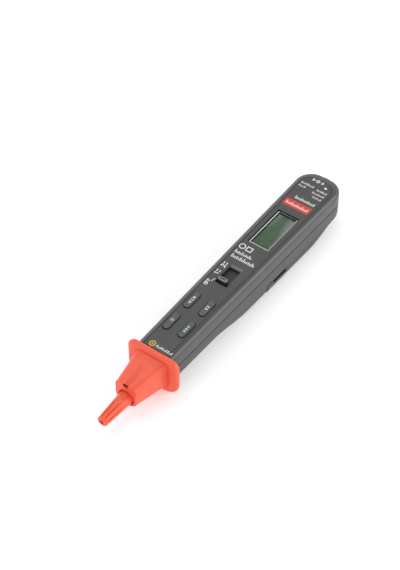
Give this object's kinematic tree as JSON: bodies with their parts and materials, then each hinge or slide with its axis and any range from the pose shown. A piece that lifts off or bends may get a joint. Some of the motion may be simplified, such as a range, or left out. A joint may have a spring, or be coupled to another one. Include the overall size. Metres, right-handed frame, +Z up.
{
  "type": "pen multimeter",
  "caption": "Pen-shaped multimeter with a twist-out probe, finger guard, slide switch, function keys, small display and a round test-lead socket in its end.",
  "frame": {"origin": "centre of the bounding box's foot: halfway along the pen, on the table under it", "axes": "+X from the probe tip to the socket end, +Z up out of the face with the keys and the display, +Y to the left when looking from the probe tip to the socket"},
  "size_m": [0.191, 0.03, 0.0253],
  "materials": {
    "body_grey": "fine matt texture",
    "guard_red": "smooth satin",
    "key_blue": "smooth matt",
    "slider_dark": "satin",
    "dark_nylon": "satin",
    "socket_black": "semi-gloss",
    "lens_clear": "clear acrylic",
    "display_green": "grey-green liquid crystal",
    "led_clear": "clear epoxy",
    "board_green": "solder mask",
    "chip_black": "moulded",
    "contact_rubber": "matt",
    "contact_steel": "nickel plated",
    "cell_steel": "satin",
    "screw_steel": "zinc plated",
    "pin_steel": "polished",
    "contact_brass": "bright",
    "print_white": "pad print",
    "print_red": "pad print",
    "print_yellow": "pad print"
  },
  "bodies": {
    "case": {"front_case": "body_grey", "rear_case": "body_grey", "battery_door": "body_grey", "door_screw": "screw_steel", "case_screws": "screw_steel", "finger_guard": "guard_red", "pin_guide": "dark_nylon", "torch_led": "led_clear", "window_lens": "lens_clear", "display_glass": "display_green", "display_holder": "dark_nylon", "zebra_strips": "contact_rubber", "main_board": "board_green", "processor": "chip_black", "key_domes": "contact_steel", "switch_pads": "contact_brass", "buzzer": "chip_black", "input_resistor": "chip_black", "crystal": "contact_steel", "capacitors": "chip_black", "socket_tube": "contact_brass", "socket_insulator": "socket_black", "socket_tab": "contact_brass", "coin_cell": "cell_steel", "cell_contact_plus": "contact_steel", "cell_contact_minus": "contact_steel", "pin_contact": "contact_brass"},
    "slider": {"mode_slider": "slider_dark", "slider_wiper": "contact_brass"},
    "range_button": {"key_range": "key_blue"},
    "hold_button": {"key_hold": "key_blue"},
    "lamp_button": {"key_lamp": "key_blue"},
    "select_button": {"key_select": "key_blue"},
    "sleeve": {"tip_sleeve": "guard_red"},
    "probe": {"probe_pin": "pin_steel", "pin_carrier": "dark_nylon"}
  },
  "joints": [
    {"name": "switch_slide", "type": "slide", "parent": "case", "child": "slider", "axis": [1, 0, 0], "range_m": [0, 0.0088]},
    {"name": "range_press", "type": "slide", "parent": "case", "child": "range_button", "axis": [0, 0, -1], "range_m": [0, 0.0005], "stiffness_N_per_m": 2000, "springref_m": -0.0002},
    {"name": "hold_press", "type": "slide", "parent": "case", "child": "hold_button", "axis": [0, 0, -1], "range_m": [0, 0.0005], "stiffness_N_per_m": 2000, "springref_m": -0.0002},
    {"name": "lamp_press", "type": "slide", "parent": "case", "child": "lamp_button", "axis": [0, 0, -1], "range_m": [0, 0.0005], "stiffness_N_per_m": 2000, "springref_m": -0.0002},
    {"name": "select_press", "type": "slide", "parent": "case", "child": "select_button", "axis": [0, 0, -1], "range_m": [0, 0.0005], "stiffness_N_per_m": 2000, "springref_m": -0.0002},
    {"name": "sleeve_turn", "type": "hinge", "parent": "case", "child": "sleeve", "pos_m": [-0.08, 0, 0.0105], "axis": [1, 0, 0], "range_deg": [0, 180]},
    {"name": "probe_slide", "type": "slide", "parent": "case", "child": "probe", "axis": [-1, 0, 0], "range_m": [0, 0.01]}
  ],
  "couplings": [
    {"joint": "sleeve_turn", "follows": "probe_slide", "rad_per_m": 314.16}
  ]
}
